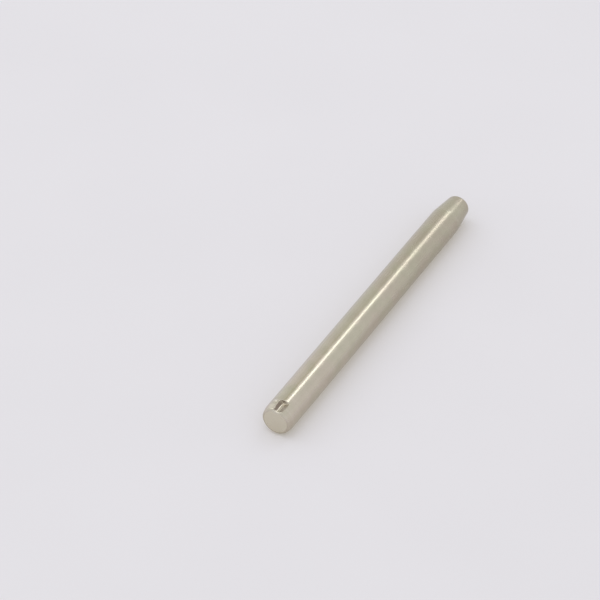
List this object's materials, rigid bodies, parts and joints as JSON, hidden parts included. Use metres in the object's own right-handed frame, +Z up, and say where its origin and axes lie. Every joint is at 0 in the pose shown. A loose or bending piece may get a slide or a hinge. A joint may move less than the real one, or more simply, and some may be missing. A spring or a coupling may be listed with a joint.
{
  "type": "straight cotter pin",
  "caption": "Plain round steel retaining pin with a bevelled driven end, a short pressed notch beside it and a tapered blunt tip.",
  "frame": {"origin": "centre of the flat driven end face, on the pin's axis", "axes": "+X along the pin's axis towards the tapered tip, +Z up as the pin lies, with the notch 6 degrees round from +Z towards -Y"},
  "size_m": [0.036, 0.003, 0.003],
  "materials": {
    "drawn_steel": "satin, drawn and lightly polished along its length"
  },
  "bodies": {
    "root": {"cotter_pin": "drawn_steel"}
  },
  "joints": []
}
